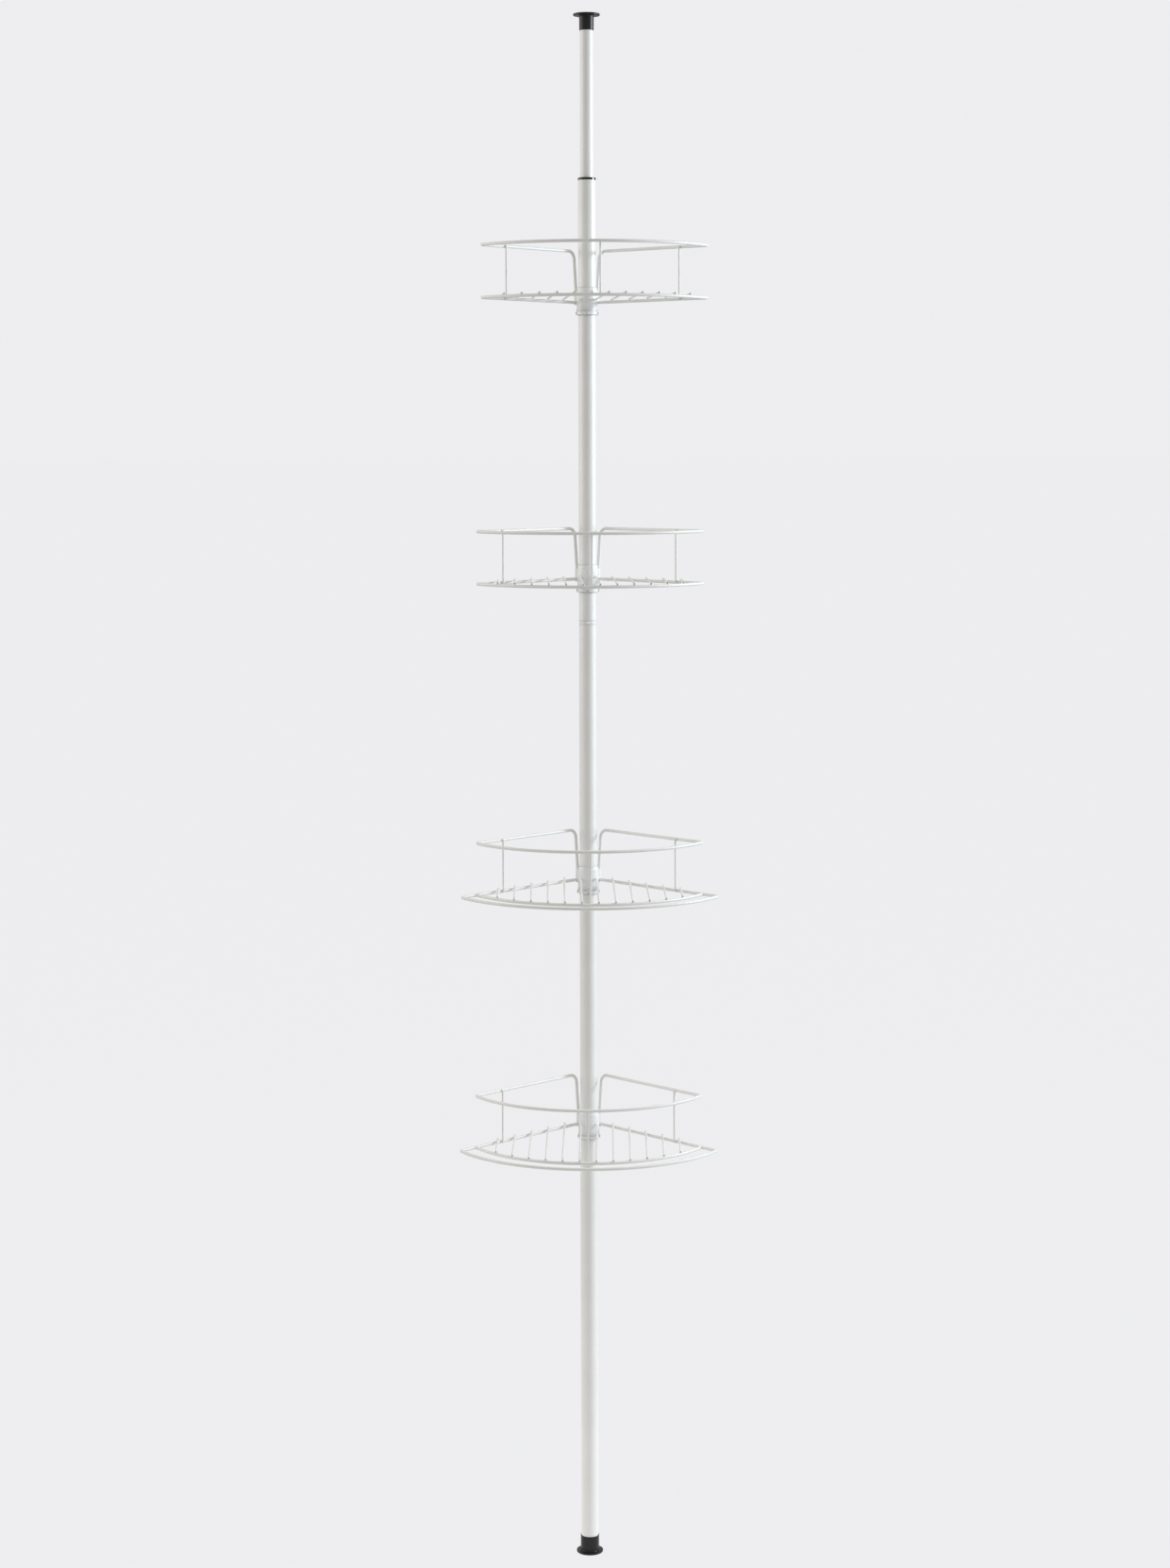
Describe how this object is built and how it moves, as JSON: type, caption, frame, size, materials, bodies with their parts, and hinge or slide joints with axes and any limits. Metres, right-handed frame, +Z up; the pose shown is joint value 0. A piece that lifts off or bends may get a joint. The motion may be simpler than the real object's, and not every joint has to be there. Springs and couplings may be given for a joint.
{
  "type": "tension pole shelf unit",
  "caption": "Floor-to-ceiling sprung tension pole with swivelling corner wire baskets on split wedge clips.",
  "frame": {"origin": "pole axis at the floor, in the sole of the bottom foot", "axes": "+Z up the pole; the baskets' round fronts point towards -Y and the corner of the room is at +Y; +X is to the right seen from the front"},
  "size_m": [0.3642, 0.2833, 2.242],
  "materials": {
    "tube_coat": "satin white powder coat",
    "wire_coat": "satin white powder coat",
    "collar_plastic": "cool white moulded plastic",
    "clip_plastic": "cool white moulded plastic",
    "coupler_plastic": "white moulded plastic",
    "foot_plastic": "glossy black moulded plastic",
    "bush_plastic": "black moulded plastic",
    "spring_steel": "bright drawn wire"
  },
  "bodies": {
    "pole": {"bottom_foot": "foot_plastic", "lower_tube": "tube_coat", "tube_coupler": "coupler_plastic", "upper_tube": "tube_coat", "guide_bush": "bush_plastic", "spring_seat": "bush_plastic", "spring": "spring_steel"},
    "top_section": {"top_tube": "tube_coat", "slider_bush": "bush_plastic", "top_foot": "foot_plastic"},
    "top_clip": {"top_clip_front": "clip_plastic", "top_clip_back": "clip_plastic"},
    "top_basket": {"top_rail": "wire_coat", "top_base_frame": "wire_coat", "top_cross_wires": "wire_coat", "top_struts": "wire_coat", "top_collar": "collar_plastic"},
    "upper_clip": {"upper_clip_front": "clip_plastic", "upper_clip_back": "clip_plastic"},
    "upper_basket": {"upper_rail": "wire_coat", "upper_base_frame": "wire_coat", "upper_cross_wires": "wire_coat", "upper_struts": "wire_coat", "upper_collar": "collar_plastic"},
    "lower_clip": {"lower_clip_front": "clip_plastic", "lower_clip_back": "clip_plastic"},
    "lower_basket": {"lower_rail": "wire_coat", "lower_base_frame": "wire_coat", "lower_cross_wires": "wire_coat", "lower_struts": "wire_coat", "lower_collar": "collar_plastic", "lower_shelf_arc": "wire_coat"},
    "bottom_clip": {"bottom_clip_front": "clip_plastic", "bottom_clip_back": "clip_plastic"},
    "bottom_basket": {"bottom_rail": "wire_coat", "bottom_base_frame": "wire_coat", "bottom_cross_wires": "wire_coat", "bottom_struts": "wire_coat", "bottom_collar": "collar_plastic", "bottom_shelf_arc": "wire_coat"}
  },
  "joints": [
    {"name": "top_section_slide", "type": "slide", "parent": "pole", "child": "top_section", "axis": [0, 0, 1], "range_m": [-0.1, 0], "stiffness_N_per_m": 2400, "springref_m": 0.01, "deforming": ["spring"]},
    {"name": "top_height", "type": "slide", "parent": "pole", "child": "top_clip", "axis": [0, 0, 1], "range_m": [-0.15, 0.15]},
    {"name": "top_swivel", "type": "hinge", "parent": "top_clip", "child": "top_basket", "pos_m": [0, 0, 1.8286], "axis": [0, 0, 1], "continuous": true},
    {"name": "upper_height", "type": "slide", "parent": "pole", "child": "upper_clip", "axis": [0, 0, 1], "range_m": [-0.035, 0.15]},
    {"name": "upper_swivel", "type": "hinge", "parent": "upper_clip", "child": "upper_basket", "pos_m": [0, 0, 1.4286], "axis": [0, 0, 1], "continuous": true},
    {"name": "lower_height", "type": "slide", "parent": "pole", "child": "lower_clip", "axis": [0, 0, 1], "range_m": [-0.125, 0.25]},
    {"name": "lower_swivel", "type": "hinge", "parent": "lower_clip", "child": "lower_basket", "pos_m": [0, 0, 0.9901], "axis": [0, 0, 1], "continuous": true},
    {"name": "bottom_height", "type": "slide", "parent": "pole", "child": "bottom_clip", "axis": [0, 0, 1], "range_m": [-0.55, 0.125]},
    {"name": "bottom_swivel", "type": "hinge", "parent": "bottom_clip", "child": "bottom_basket", "pos_m": [0, 0, 0.6309], "axis": [0, 0, 1], "continuous": true}
  ]
}
